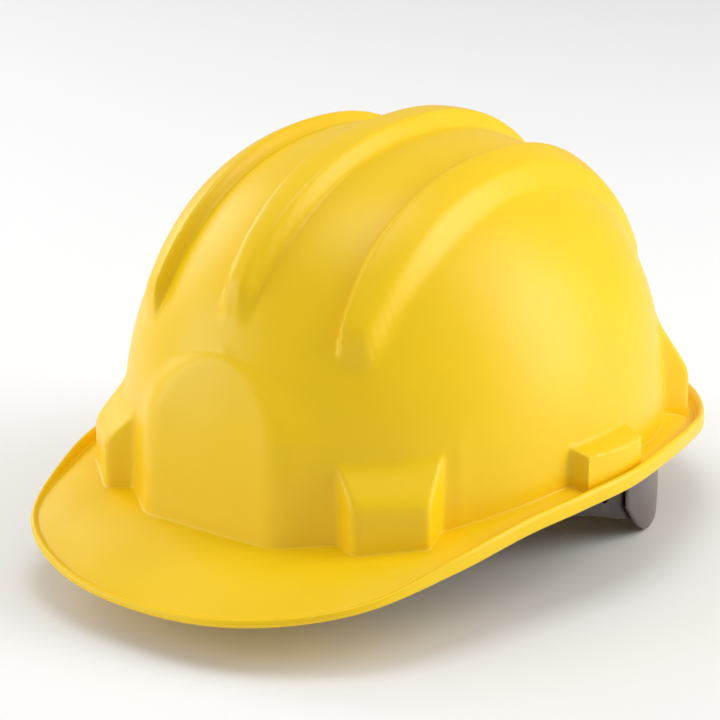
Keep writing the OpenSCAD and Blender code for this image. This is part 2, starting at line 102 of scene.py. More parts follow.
def soft_max(a, b, k):
    """The larger of a and b, rounded over where they are within k of each other."""
    h = np.clip(k - np.abs(a - b), 0, None) / k
    return np.maximum(a, b) + h * h * k / 4


def soft_min(a, b, k):
    return -soft_max(-a, -b, k)


def sin_cos(degrees):
    return np.sin(np.radians(degrees)), np.cos(np.radians(degrees))


def folded(bearing):
    """A bearing on the hat's left half, 0 to 180."""
    return np.abs((bearing + 180) % 360 - 180)


def around(table, bearing):
    """A smooth curve through a table with one value every 15 degrees."""
    full = np.array([table[1]] + list(table) + [table[-2], table[-3]], float)
    u = folded(bearing) / 15
    i = np.minimum(np.floor(u).astype(int), 12)
    f = u - i
    p0, p1, p2, p3 = full[i], full[i + 1], full[i + 2], full[i + 3]
    bend = 2 * p0 - 5 * p1 + 4 * p2 - p3 + f * (3 * (p1 - p2) + p3 - p0)
    return p1 + 0.5 * f * (p2 - p0 + f * bend)


def dome_reach(bearing, depth=0.0):
    """Reach of the dome at the hat line."""
    s, c = sin_cos(bearing)
    end = np.where(c > 0, DOME_FRONT, DOME_REAR) - depth
    power = np.where(c > 0, POWER_FRONT, POWER_REAR)
    return (np.abs(s / (DOME_W / 2 - depth)) ** power + np.abs(c / end) ** power) ** (-1 / power)


def shrink(z, depth=0.0):
    """The dome's size at a height, as a share of its size at the hat line."""
    up = np.clip((z - HAT_Z) / (DOME_H - depth), 0, 1)
    return np.where(z > HAT_Z, (1 - up**POWER_UP) ** (1 / POWER_UP), 1 + FLARE * (HAT_Z - z) / 100)


def panel_reach(bearing, z):
    """How far the flat badge panel stands from the middle of the hat."""
    s, c = sin_cos(bearing)
    face = DOME_FRONT * shrink(z) + 0.5
    arch = np.clip((z - PANEL_SPRING) / (PANEL_TOP - PANEL_SPRING), 0, 1)
    half = PANEL_HALF * np.sqrt(np.maximum(1 - arch**2, 0))
    ahead = np.maximum(c, 0.2)
    flank = (half + face) / (np.abs(s) + ahead)
    return soft_min(face / ahead, flank, 6)


def pocket_reach(bearing, z, pocket):
    """How far a suspension pocket stands from the middle of the hat."""
    at, facing, root_w, face_w, reach, face_top, slope_top, _ = POCKETS[pocket]
    turn_s, turn_c = sin_cos(bearing - facing)
    off_s, off_c = sin_cos(at - facing)
    out, along = dome_reach(at) * off_c, dome_reach(at) * off_s
    run = reach + 1.4
    taper = (root_w - face_w) / 2 / run
    ahead = np.maximum(turn_c, 0.2)
    room = root_w / 2 - 3 * taper + taper * out
    best = (out + reach) / ahead
    for side in (1, -1):
        spread = side * turn_s + taper * turn_c
        wall = np.where(spread > 0.02, (room + side * along) / np.maximum(spread, 0.02), 1e4)
        best = soft_min(best, wall, 2.6)
    fall = (slope_top + 1 - face_top) / run
    ramp = (out + (slope_top + 1 - z) / fall - 3) / ahead
    return soft_min(best, ramp, 3.0)


def wall_reach(bearing, z):
    """The outside of the shell's wall with its panel and pockets, but without ribs."""
    b = folded(bearing)
    reach = dome_reach(b) * shrink(z)
    reach = np.where(b < 50, soft_max(reach, panel_reach(b, z), 3.5), reach)
    for pocket in POCKETS:
        near = np.abs(b - POCKETS[pocket][0]) < 30
        reach = np.where(near, soft_max(reach, pocket_reach(b, z, pocket), 2.2), reach)
    return reach


def with_ribs(points, half):
    """Points of the dome, moved outwards where the three crown ribs run over them."""
    x, y, z = points[..., 0], points[..., 1] - CENTRE_Y, points[..., 2] - HAT_Z
    angle = np.degrees(np.arctan2(z, -y))
    rise = np.zeros_like(x)
    for number, first in RIB_FRONT.items():
        fade = smooth((angle - first) / 8.5) * smooth((RIB_BACK - angle) / 12)
        width = 0.68 + 0.32 * smooth((angle - first) / 30)
        u = np.abs(np.abs(x) - number * RIB_PITCH) / (half * width)
        shape = smooth((1 - u) * 2.1) * (0.86 + 0.14 * np.clip(1 - u * u, 0, 1))
        rise = np.maximum(rise, RIB_H * shape * fade)
    s, c = sin_cos(angle)
    return points + np.stack([0 * x, -rise * c, rise * s], -1)


# ---------------------------------------------------------------- mesh helpers
def new_piece(name, verts, faces, smooth_shading=True):
    """A mesh object from points in millimetres."""
    mesh = bpy.data.meshes.new(name)
    mesh.from_pydata((np.asarray(verts, float) * MM).tolist(), [], faces)
    mesh.validate()
    piece = bpy.data.objects.new(name, mesh)
    bpy.context.scene.collection.objects.link(piece)
    mesh.polygons.foreach_set("use_smooth", [smooth_shading] * len(mesh.polygons))
    return piece


def face_outwards(piece):
    """Turn every face of a closed mesh to point outwards."""
    work = bmesh.new()
    work.from_mesh(piece.data)
    bmesh.ops.recalc_face_normals(work, faces=work.faces)
    work.to_mesh(piece.data)
    work.free()


def apply_modifiers(piece):
    """Put the result of a piece's modifiers into its mesh."""
    deps = bpy.context.evaluated_depsgraph_get()
    mesh = bpy.data.meshes.new_from_object(piece.evaluated_get(deps))
    piece.modifiers.clear()
    piece.data = mesh


def spaced(density, count, low, high):
    """count + 1 values from low to high, closer together where density(value) is larger."""
    fine = np.linspace(low, high, 4000)
    weight = density(fine)
    total = np.concatenate([[0], np.cumsum((weight[1:] + weight[:-1]) / 2)])
    return np.interp(np.linspace(0, total[-1], count + 1), total, fine)


def spline(controls, samples):
    """A quadratic B-spline through control points, one curve per column."""
    rows = [(controls[0] + controls[1]) / 2]
    for i in range(1, len(controls) - 1):
        start = (controls[i - 1] + controls[i]) / 2
        end = (controls[i] + controls[i + 1]) / 2
        for t in np.arange(1, samples[i - 1] + 1) / samples[i - 1]:
            rows.append((1 - t) ** 2 * start + 2 * t * (1 - t) * controls[i] + t * t * end)
    return rows


# ---------------------------------------------------------------- the shell
def column_bearings():
    """Bearings of the columns, closer together on the pockets' and the panel's flanks."""

    def density(b):
        weight = np.ones_like(b)
        for at, facing, root_w, face_w, reach, *_ in POCKETS.values():
            for side in (-1, 1):
                edge = at + side * math.degrees((root_w + face_w) / 4 / 113)
                weight += 1.6 * np.exp(-(((b - edge) / 2.6) ** 2))
        return weight + 0.5 * np.exp(-(((b - 17.5) / 3) ** 2))

    half = spaced(density, COLUMNS // 2, 0, 180)
    return np.concatenate([half[:-1], 360 - half[:0:-1]])


def ring_at(bearing, reach, z):
    """Points at a reach and a height on every bearing."""
    s, c = sin_cos(bearing)
    return np.stack([reach * s, CENTRE_Y - reach * c, z + 0 * reach], -1)


def dome_level(share, depth=0.0):
    """Height at which the dome has shrunk to a share of its size at the hat line."""
    return HAT_Z + (DOME_H - depth) * (1 - share**POWER_UP) ** (1 / POWER_UP)


class Rim:
    """The rim on every bearing: its edge, its floor, and where the wall meets the floor."""

    def __init__(self, bearing):
        self.bearing = bearing
        self.reach = around(RIM_REACH, bearing)
        self.low = around(RIM_LOW, bearing)
        self.height = EDGE_H + (LIP_H - EDGE_H) * smooth((folded(bearing) - 30) / 22)
        self.root_z = around(ROOT_Z, bearing)
        self.root = dome_reach(bearing) * shrink(self.root_z)
        self.bow = 0.045 * (self.reach - self.root)
        self.end = self.reach - 3.4
        self.end_z = self.low + BRIM_T + 0.2
        self.joint_z = self.root_z.copy()
        for _ in range(6):
            self.joint = np.minimum(wall_reach(bearing, self.joint_z), self.end - 0.5)
            self.joint_z = self.floor_z(self.joint)

    def floor_z(self, reach):
        """Height of the floor, which bows up slightly between the wall and the lip."""
        t = (reach - self.root) / (self.end - self.root)
        return self.root_z + (self.end_z - self.root_z) * t + 4 * self.bow * t * (1 - t)

    def floor(self, t):
        """Points of the floor, from the wall at t = 0 to the lip at t = 1."""
        reach = self.joint + (self.end - self.joint) * t
        return np.stack([reach, self.floor_z(reach)], -1)

    def underside(self, t):
        """Points under the brim, from its edge at t = 0 to the inside of the wall at t = 1."""
        inner = dome_reach(self.bearing, WALL) * shrink(self.root_z)
        edge_r, edge_z = self.reach - 4, self.low + 0.15
        reach = edge_r + (inner + 1.4 - edge_r) * t
        rise = (self.root_z - BRIM_T - 0.6 - self.low) * t
        return np.stack([reach, edge_z + rise + 4 * self.bow * t * (1 - t)], -1)

    def profile(self):
        """Rows of points over the fillet, the floor and the lip, and back under the brim."""
        bearing, r, z, top = self.bearing, self.reach, self.low, self.low + self.height
        near = np.minimum(FILLET / np.maximum(self.end - self.joint, 0.4), 0.34)
        same = 0 * r

        def pair(reach, height):
            return np.stack([reach, height], -1)

        def wall(above):
            level = self.joint_z + above
            return pair(wall_reach(bearing, level), level)

        def inside(above):
            level = self.root_z + above
            return pair(dome_reach(bearing, WALL) * shrink(level), level)

        inner = dome_reach(bearing, WALL) * shrink(self.root_z)
        # each control point, with the number of rows of the curve around it
        controls = [
            (wall(FILLET), 0),
            (wall(FILLET / 2), 2),
            (pair(self.joint, self.joint_z), 4),
            (self.floor(near), 3),
            (self.floor(0.5 + same), 6),
            (self.floor(1 - 0.6 * near), 4),
            (pair(r - 3.2, self.end_z), 2),
            (pair(r - 2.7, top - 0.9), 2),
            (pair(r - 1.9, top + 0.1), 2),
            (pair(r - 0.5, top), 2),
            (pair(r + 0.1, top - 1.2), 2),
            (pair(r + 0.15, z + 1.0), 2),
            (pair(r - 0.5, z - 0.1), 2),
            (pair(r - 2.2, z - 0.05), 2),
            (self.underside(0.1 + same), 3),
            (self.underside(0.5 + same), 4),
            (self.underside(0.92 + same), 3),
            (pair(inner + 0.1, self.root_z - BRIM_T + 0.9), 2),
            (inside(3), 2),
            (inside(6), 0),
        ]
        points, samples = zip(*controls)
        return spline(points, samples[1:-1])[1:]


def crown_rows(bearing):
    """The crown, from the pole down to where the pockets begin."""

    def density(share):
        return np.where(share < 0.62, 1.0, 0.8 + 1.6 * (share - 0.62))

    last = float(shrink(np.array(CROWN_LOW)))
    shares = spaced(density, 96, 0.012, last)
    reach = dome_reach(bearing)
    rings = [ring_at(bearing, reach * share, dome_level(share)) for share in shares]
    return [with_ribs(ring, RIB_HALF) for ring in rings]


def wall_rows(bearing, rim):
    """The wall below the crown, with rows spread evenly along its outline."""
    count = 60
    steps = np.linspace(0, 1, 260)[:, None]
    level = CROWN_LOW + (rim.joint_z + FILLET * 0.75 - CROWN_LOW) * steps
    reach = wall_reach(bearing[None, :], level)
    reach = np.minimum(reach, rim.end[None, :] - 0.5 + 2 * np.clip(level - 60, 0, None))
    length = np.hypot(np.diff(level, axis=0), np.diff(reach, axis=0))
    length = np.concatenate([0 * length[:1], np.cumsum(length, axis=0)])
    rows = []
    for k in range(1, count + 1):
        at = length[-1] * k / count
        here = np.array([
            (np.interp(v, length[:, j], level[:, j]), np.interp(v, length[:, j], reach[:, j]))
            for j, v in enumerate(at)
        ])
        rows.append(with_ribs(ring_at(bearing, here[:, 1], here[:, 0]), RIB_HALF))
    return rows


def inner_rows(bearing, rim):
    """The inside of the wall, up to the pole, with the hollows of the ribs."""
    reach = dome_reach(bearing, WALL)
    foot, bend = rim.root_z + 4.5, 72
    rows = []
    for k in range(1, 8):
        level = foot + (bend - foot) * k / 7
        rows.append(ring_at(bearing, reach * shrink(level, WALL), level))
    first = float(shrink(np.array(float(bend)), WALL))
    for k in range(1, 33):
        share = first + (0.015 - first) * k / 32
        ring = ring_at(bearing, reach * share, dome_level(share, WALL))
        rows.append(with_ribs(ring, RIB_HALF - 2.2))
    return rows


def shell_rows():
    """Rings of points over the outside, round the rim and up the inside."""
    bearing = column_bearings()
    rim = Rim(bearing)
    edge = [ring_at(bearing, point[:, 0], point[:, 1]) for point in rim.profile()]
    return crown_rows(bearing) + wall_rows(bearing, rim) + edge + inner_rows(bearing, rim)


def make_shell():
    """The rings joined into one closed mesh, with a point at each pole."""
    rows = shell_rows()
    columns = rows[0].shape[0]
    verts = np.concatenate(rows)
    faces = []
    for i in range(len(rows) - 1):
        a, b = i * columns, (i + 1) * columns
        for j in range(columns):
            k = (j + 1) % columns
            faces.append((a + j, b + j, b + k, a + k))
    top, bottom = len(verts), len(verts) + 1
    for j in range(columns):
        k = (j + 1) % columns
        faces.append((top, j, k))
        end = (len(rows) - 1) * columns
        faces.append((bottom, end + k, end + j))
    poles = [verts[:columns].mean(0), verts[-columns:].mean(0)]
    return new_piece("hat_shell", np.concatenate([verts, poles]), faces)


def cut_slots(piece):
    """T-shaped slots up into the suspension pockets, where the clips slide in."""
    neck, tongue, step, depth = 8, 13, 1.6, 5.8
    half = [(-8, neck), (step, neck), (step, tongue), (depth, tongue)]
    section = half + [(out, -across) for out, across in reversed(half)]
    count = len(section)
    verts, faces = [], []
    for at, facing, *_, slot_top in POCKETS.values():
        (at_s, at_c), (s, c) = sin_cos(at), sin_cos(facing)
        reach = float(dome_reach(at))
        for side in (1, -1):
            base = len(verts)
            for z in (20, slot_top):
                for out, across in section:
                    x = reach * at_s + out * s + across * c
                    y = CENTRE_Y - reach * at_c - out * c + across * s
                    verts.append((side * x, y, z))
            faces.append([base + i for i in range(count)])
            faces.append([base + count + i for i in reversed(range(count))])
            for i in range(count):
                k = (i + 1) % count
                faces.append((base + i, base + count + i, base + count + k, base + k))
    cutter = new_piece("slot_cutter", verts, faces, smooth_shading=False)
    face_outwards(cutter)
    cut = piece.modifiers.new("slots", "BOOLEAN")
    cut.operation = "DIFFERENCE"
    cut.solver = "MANIFOLD"
    cut.object = cutter
    apply_modifiers(piece)
    bpy.data.objects.remove(cutter)
    piece.data.materials.clear()
    piece.data.set_sharp_from_angle(angle=math.radians(50))


shell = make_shell()
cut_slots(shell)
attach(shell, "hat")
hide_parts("shell")


# ---------------------------------------------------------------- materials
def material(name):
    mat = bpy.data.materials.new(name)
    mat.use_nodes = True
    tree = mat.node_tree
    return mat, tree, tree.nodes["Principled BSDF"]


def node(tree, kind, **settings):
    """A shader node. Settings with a capital letter are its inputs, the others its options."""
    made = tree.nodes.new("ShaderNode" + kind)
    for key, value in settings.items():
        if key[0].isupper():
            socket = made.inputs[key.replace("_", " ")]
            if isinstance(value, bpy.types.NodeSocket):
                tree.links.new(value, socket)
            else:
                socket.default_value = value
        else:
            setattr(made, key, value)
    return made


def math_node(tree, operation, a, b=0.0):
    made = tree.nodes.new("ShaderNodeMath")
    made.operation = operation
    for socket, value in zip(made.inputs, (a, b)):
        if isinstance(value, bpy.types.NodeSocket):
            tree.links.new(value, socket)
        else:
            socket.default_value = value
    return made.outputs[0]


def ramp(tree, fac, stops):
    """A colour ramp through (position, colour) stops."""
    made = tree.nodes.new("ShaderNodeValToRGB")
    tree.links.new(fac, made.inputs["Fac"])
    elements = made.color_ramp.elements
    while len(elements) < len(stops):
        elements.new(0.5)
    for element, (position, colour) in zip(elements, stops):
        element.position = position
        element.color = (*colour, 1)
    return made.outputs["Color"]


def spread(tree, fac, low, high):
    """A value from low to high as fac goes from 0 to 1."""
    return node(tree, "MapRange", Value=fac, To_Min=low, To_Max=high).outputs["Result"]


def noise(tree, scale, detail=2.0, rough=0.5):
    place = node(tree, "TexCoord").outputs["Object"]
    made = node(tree, "TexNoise", Vector=place, Scale=scale, Detail=detail, Roughness=rough)
    return made.outputs["Fac"]


def bump(tree, height, distance, under=None):
    made = node(tree, "Bump", Height=height, Distance=distance, Strength=1.0)
    if under is not None:
        tree.links.new(under, made.inputs["Normal"])
    return made.outputs["Normal"]


def moulded(name, colour, rough, grain=0.00002, mottle=0.06, edge=1.25, level=0.5):
    """Injection-moulded plastic: a fine grain, faint mottling and slightly polished edges."""
    mat, tree, shader = material(name)
    cloud = noise(tree, 22, 3)
    darker = tuple(c * (1 - mottle) for c in colour)
    lighter = tuple(min(c * (1 + mottle), 1) for c in colour)
    base = ramp(tree, cloud, [(0.35, darker), (0.65, lighter)])
    point = node(tree, "NewGeometry").outputs["Pointiness"]
    worn = ramp(tree, point, [(0.52, (0, 0, 0)), (0.6, (1, 1, 1))])
    rubbed = tuple(min(c * edge, 1) for c in colour)
    mix = tree.nodes.new("ShaderNodeMix")
    mix.data_type = "RGBA"
    tree.links.new(math_node(tree, "MULTIPLY", worn, 0.5), mix.inputs["Factor"])
    tree.links.new(base, mix.inputs["A"])
    mix.inputs["B"].default_value = (*rubbed, 1)
    tree.links.new(mix.outputs["Result"], shader.inputs["Base Color"])
    scuff = noise(tree, 160, 4, 0.65)
    tree.links.new(spread(tree, scuff, rough - 0.05, rough + 0.06), shader.inputs["Roughness"])
    coarse = bump(tree, noise(tree, 420, 2), grain * 2)
    tree.links.new(bump(tree, noise(tree, 1500, 2), grain, coarse), shader.inputs["Normal"])
    shader.inputs["Specular IOR Level"].default_value = level
    return mat


def woven(name, dark, light, warp=0.0011, weft=0.0009, depth=0.00022):
    """Narrow webbing, read from the piece's UV map, which holds metres along and across it."""
    mat, tree, shader = material(name)
    place = node(tree, "TexCoord").outputs["UV"]
    split = node(tree, "SeparateXYZ", Vector=place)
    along = math_node(tree, "MULTIPLY", split.outputs["X"], math.pi / weft)
    across = math_node(tree, "MULTIPLY", split.outputs["Y"], math.pi / warp)
    waves = [math_node(tree, "SINE", phase) for phase in (along, across)]
    over = math_node(tree, "MULTIPLY", *waves)
    height = math_node(tree, "ABSOLUTE", over)
    tone = spread(tree, over, 0.35, 0.65)
    fuzz = math_node(tree, "MULTIPLY", noise(tree, 2600, 2), 0.35)
    shade = math_node(tree, "ADD", math_node(tree, "MULTIPLY", height, 0.6), fuzz)
    shade = math_node(tree, "MULTIPLY", shade, math_node(tree, "ADD", tone, 0.5))
    tree.links.new(ramp(tree, shade, [(0.1, dark), (0.85, light)]), shader.inputs["Base Color"])
    tree.links.new(spread(tree, noise(tree, 900, 2), 0.72, 0.92), shader.inputs["Roughness"])
    tree.links.new(bump(tree, height, depth), shader.inputs["Normal"])
    shader.inputs["Sheen Weight"].default_value = 0.25
    shader.inputs["Sheen Roughness"].default_value = 0.5
    return mat


def knitted(name, dark, light, pitch=0.0016):
    """Spacer knit over foam: a honeycomb of small holes, the same in every direction."""
    mat, tree, shader = material(name)
    place = node(tree, "TexCoord").outputs["Object"]
    cells = node(tree, "TexVoronoi", Vector=place, Scale=1 / pitch, Randomness=0.35)
    hole = spread(tree, cells.outputs["Distance"], 0.0, 1.6)
    fuzz = math_node(tree, "MULTIPLY", noise(tree, 3200, 2), 0.4)
    shade = math_node(tree, "ADD", hole, fuzz)
    tree.links.new(ramp(tree, shade, [(0.25, dark), (1.0, light)]), shader.inputs["Base Color"])
    tree.links.new(spread(tree, noise(tree, 700, 2), 0.82, 0.97), shader.inputs["Roughness"])
    tree.links.new(bump(tree, hole, 0.0003), shader.inputs["Normal"])
    shader.inputs["Sheen Weight"].default_value = 0.3
    shader.inputs["Sheen Roughness"].default_value = 0.6
    return mat


def plated(name, colour, rough):
    """Zinc-plated steel with fine drawing marks."""
    mat, tree, shader = material(name)
    marks = noise(tree, 1800, 3, 0.7)
    darker = tuple(c * 0.82 for c in colour)
    tree.links.new(ramp(tree, marks, [(0.3, darker), (0.7, colour)]), shader.inputs["Base Color"])
    tree.links.new(spread(tree, marks, rough - 0.06, rough + 0.1), shader.inputs["Roughness"])
    tree.links.new(bump(tree, marks, 0.00001), shader.inputs["Normal"])
    shader.inputs["Metallic"].default_value = 1.0
    return mat


YELLOW = moulded("shell yellow", (0.92, 0.6, 0.001), 0.37, 0.000012, 0.02, 1.06, 0.38)
BLACK = moulded("harness black", (0.021, 0.014, 0.011), 0.5, 0.00003, 0.18, 1.9)
NAPE = moulded("nape brown", (0.085, 0.062, 0.056), 0.24, 0.000012, 0.1, 1.5, 0.7)
RACK = moulded("rack grey", (0.045, 0.04, 0.037), 0.38, 0.00002, 0.15, 1.7)
KNOB = moulded("knob black", (0.024, 0.02, 0.019), 0.5, 0.00005, 0.15, 2.0)
GEAR = moulded("gear white", (0.66, 0.63, 0.55), 0.42, 0.00002, 0.05, 1.1)
STEEL = plated("zinc steel", (0.66, 0.66, 0.68), 0.3)
WEBBING = woven("webbing charcoal", (0.012, 0.012, 0.014), (0.11, 0.11, 0.12))
BINDING = woven(
    "binding black", (0.008, 0.008, 0.01), (0.06, 0.06, 0.066), 0.0007, 0.0006, 0.00012
)
PADDING = knitted("pad cloth", (0.01, 0.01, 0.012), (0.085, 0.085, 0.095))
THREAD = moulded("thread grey", (0.16, 0.16, 0.17), 0.7, 0.00005, 0.2, 1.2)

shell.data.materials.append(YELLOW)


# ---------------------------------------------------------------- moulded parts of the harness
def rounded_copy(name, cad_node, body, look, width=0.35):
    """A moulded part's own shape with its edges rounded, in place of its CAD node."""
    piece = bpy.data.objects.new(name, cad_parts[cad_node].data.copy())
    bpy.context.scene.collection.objects.link(piece)
    mesh = piece.data
    work = bmesh.new()
    work.from_mesh(mesh)
    bmesh.ops.remove_doubles(work, verts=work.verts, dist=0.002 * MM)
    bmesh.ops.dissolve_limit(
        work, angle_limit=math.radians(1.0), verts=work.verts, edges=work.edges
    )
    work.to_mesh(mesh)
    work.free()
    bevel = piece.modifiers.new("edges", "BEVEL")
    bevel.width = width * MM
    bevel.segments = 2
    bevel.limit_method = "ANGLE"
    bevel.angle_limit = math.radians(38)
    bevel.use_clamp_overlap = True
    apply_modifiers(piece)
    piece.data.polygons.foreach_set("use_smooth", [True] * len(piece.data.polygons))
    piece.data.set_sharp_from_angle(angle=math.radians(32))
    piece.data.materials.clear()
    piece.data.materials.append(look)
    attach(piece, body)
    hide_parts(cad_node)
    return piece


for place in ("front_left", "front_right", "side_left", "side_right", "rear_left", "rear_right"):
    rounded_copy("clip_" + place, "key_" + place, "hat", BLACK, 0.5)
rounded_copy("head_ring", "headband", "hat", BLACK, 0.4)
rounded_copy("ring_rivets", "nape_studs", "hat", BLACK, 0.3)
rounded_copy("adjuster_case", "ratchet_housing", "hat", BLACK, 0.5)
rounded_copy("adjuster_lid", "ratchet_cover", "hat", BLACK, 0.4)
rounded_copy("toothed_strap_left", "left_rack", "left_rack", RACK, 0.2)
rounded_copy("toothed_strap_right", "right_rack", "right_rack", RACK, 0.2)
rounded_copy("size_knob", "adjuster_knob", "knob", KNOB, 0.6)
rounded_copy("size_gear", "pinion", "knob", GEAR, 0.15)
for name, look in (("detent_spring", STEEL), ("knob_screw", STEEL), ("housing_screws", STEEL)):
    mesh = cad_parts[name].data
    mesh.materials.clear()
    mesh.materials.append(look)


# ---------------------------------------------------------------- nape strap
NAPE_Y = CENTRE_Y + 26
NAPE_R = 92.5
NAPE_T = 1.8
NAPE_END = 88


def nape_edges(angle):
    """Lower and upper edge of the nape strap at an angle from the back."""
    t = abs(angle)
    corner = 17 * (max(t - NAPE_END + 16, 0) / 16) ** 1.9
    low = corner + 5 * float(smooth((66 - t) / 6)) - 3.5 * float(smooth((34 - t) / 8))
    return low, 34 - 3 * float(smooth((40 - t) / 12))


def make_nape_strap():
    """A curved band with two lobes, 1.8 mm thick, with rounded edges."""
    turns = np.concatenate([
        -NAPE_END + 0.9 * (1 - np.cos(np.linspace(0, math.pi / 2, 6)[:-1])),
        np.linspace(0.9 - NAPE_END, NAPE_END - 0.9, 224),
        NAPE_END - 0.9 * (1 - np.cos(np.linspace(0, math.pi / 2, 6)[:-1]))[::-1],
    ])
    rings = []
    for angle in turns:
        low, high = nape_edges(angle)
        swell = min((NAPE_END - abs(angle)) / 0.9, 1)
        thick = NAPE_T / 2 * math.sqrt(1 - (1 - swell) ** 2) + 0.02
        cap = thick
        profile = []
        for k in range(9):
            turn = math.pi * k / 8
            profile.append((thick * math.cos(turn), low + cap * (1 - math.sin(turn))))
        sides = 14
        for k in range(1, sides):
            profile.append((-thick, low + cap + (high - low - 2 * cap) * k / sides))
        for k in range(9):
            turn = math.pi * k / 8
            profile.append((-thick * math.cos(turn), high - cap * (1 - math.sin(turn))))
        for k in range(1, sides):
            profile.append((thick, high - cap - (high - low - 2 * cap) * k / sides))
        s, c = sin_cos(angle)
        middle = NAPE_R - NAPE_T / 2
        rings.append([((middle + d) * s, NAPE_Y + (middle + d) * c, z) for d, z in profile])
    return tube("nape_band", rings, closed=False)


def tube(name, rings, closed=False):
    """A mesh through rings of points that all have the same number of points."""
    size = len(rings[0])
    verts = [p for ring in rings for p in ring]
    count = len(rings)
    faces = []
    for i in range(count if closed else count - 1):
        a, b = i * size, (i + 1) % count * size
        for j in range(size):
            k = (j + 1) % size
            faces.append((a + j, a + k, b + k, b + j))
    if not closed:
        faces.append(tuple(reversed(range(size))))
        faces.append(tuple((count - 1) * size + j for j in range(size)))
    piece = new_piece(name, verts, faces)
    face_outwards(piece)
    return piece


nape_band = make_nape_strap()
nape_band.data.materials.append(NAPE)
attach(nape_band, "hat")
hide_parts("nape_strap")


# ---------------------------------------------------------------- crown webbing
STRAP_W = 20
WEB_T = 1.2
PLATE_BACK = 8
WEB_BACK = PLATE_BACK + 3 + 1
CROWN_Z = HAT_Z + DOME_H - WALL - 32
FOLD_Z = 66


def wall_point(bearing, side):
    s, c = sin_cos(bearing)
    reach = float(dome_reach(np.array(float(bearing))))
    return Vector((side * reach * s, CENTRE_Y - reach * c, 0))


def rounded_path(points, radius, steps=5):
    """A polyline with its corners rounded, as (distance out, height) pairs."""
    points = [Vector(p) for p in points]
    path = [points[0]]
    for before, corner, after in zip(points, points[1:], points[2:]):
        into, away = (before - corner), (after - corner)
        cut = min(radius, into.length * 0.48, away.length * 0.48)
        start, end = corner + into.normalized() * cut, corner + away.normalized() * cut
        for k in range(steps + 1):
            t = k / steps
            path.append((1 - t) ** 2 * start + 2 * t * (1 - t) * corner + t * t * end)
    return path + [points[-1]]


def web_half(reach, top):
    """Half of a strap's centre line, from its folded end over the key to the crown."""
    end = [
        (reach - PLATE_BACK - 2.55, 72),
        (reach - PLATE_BACK - 2.55, 60.9),
        (reach - PLATE_BACK + 0.9, 60.9),
        (reach - PLATE_BACK + 0.9, 54.2),
        (reach - WEB_BACK, 54.2),
        (reach - WEB_BACK, FOLD_Z - 4),
    ]
    path = rounded_path(end, 1.6)
    for h in range(0, 91, 3):
        s, c = sin_cos(h)
        out = (reach - WEB_BACK) * max(c, 0) ** 0.85
        path.append(Vector((out, FOLD_Z + (top - FOLD_Z) * s**0.85)))
    return path


def make_strap(name, bearing_a, side_a, bearing_b, side_b, top):
    p, q = wall_point(bearing_a, side_a), wall_point(bearing_b, side_b)
    middle, reach = (p + q) / 2, (p - q).length / 2
    out = (p - q).normalized()
    across = Vector((-out.y, out.x, 0))
    half = web_half(reach, top)
    line = half + [Vector((-v.x, v.y)) for v in reversed(half[:-1])]
    section = []
    edge, t = STRAP_W / 2, WEB_T / 2
    for k in range(-8, 9):
        section.append((edge * k / 8, t * (1 - 0.75 * abs(k / 8) ** 8)))
    for k in range(8, -9, -1):
        section.append((edge * k / 8, -t * (1 - 0.75 * abs(k / 8) ** 8)))
    rings, length, run = [], [], 0.0
    for i, point in enumerate(line):
        ahead = line[min(i + 1, len(line) - 1)] - line[max(i - 1, 0)]
        normal = Vector((-ahead.y, ahead.x)).normalized()
        if i:
            run += (point - line[i - 1]).length
        length.append(run)
        ring = []
        for w, d in section:
            height = Vector((0, 0, point.y + normal.y * d))
            ring.append(middle + out * (point.x + normal.x * d) + across * w + height)
        rings.append(ring)
    strap = tube(name, rings)
    size = len(section)
    uv = strap.data.uv_layers.new(name="UVMap")
    for loop in strap.data.loops:
        ring, k = divmod(loop.vertex_index, size)
        uv.data[loop.index].uv = (length[ring] * MM, section[k][0] * MM)
    strap.data.materials.append(WEBBING)
    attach(strap, "hat")
    stitches(name + "_tack", middle, out, across, reach)
    return strap


def stitches(name, middle, out, across, reach):
    """Five rows of nine stitches through the two layers of each folded end."""
    turns, sides = 6, 6
    verts, faces = [], []

    def stitch(centre):
        base = len(verts)
        for i in range(turns):
            a = math.pi * i / (turns - 1)
            for j in range(sides):
                b = 2 * math.pi * j / sides
                depth = out * 0.2 * math.sin(a) * math.cos(b)
                height = Vector((0, 0, 0.24 * math.sin(a) * math.sin(b)))
                verts.append(centre + across * 0.8 * math.cos(a) + depth + height)
        for i in range(turns - 1):
            this, following = base + i * sides, base + (i + 1) * sides
            for j in range(sides):
                k = (j + 1) % sides
                faces.append((this + j, this + k, following + k, following + j))

    for end in (1, -1):
        face = (reach - WEB_BACK - WEB_T / 2 - 0.12) * end
        for row in range(5):
            shift = 0.35 if row % 2 else -0.35
            height = Vector((0, 0, 66.4 + 1.15 * row))
            for k in range(9):
                stitch(middle + out * face + across * (2 * k - 8 + shift) + height)
    tack = new_piece(name, verts, faces)
    tack.data.materials.append(THREAD)
    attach(tack, "hat")


strap_left = make_strap("web_left", 35, 1, 141.2, -1, CROWN_Z)
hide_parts("crown_strap_left")
strap_right = make_strap("web_right", 35, -1, 141.2, 1, CROWN_Z - 2)
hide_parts("crown_strap_right")
strap_cross = make_strap("web_cross", 87.2, 1, 87.2, -1, CROWN_Z - 4)
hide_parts("crown_strap_cross")


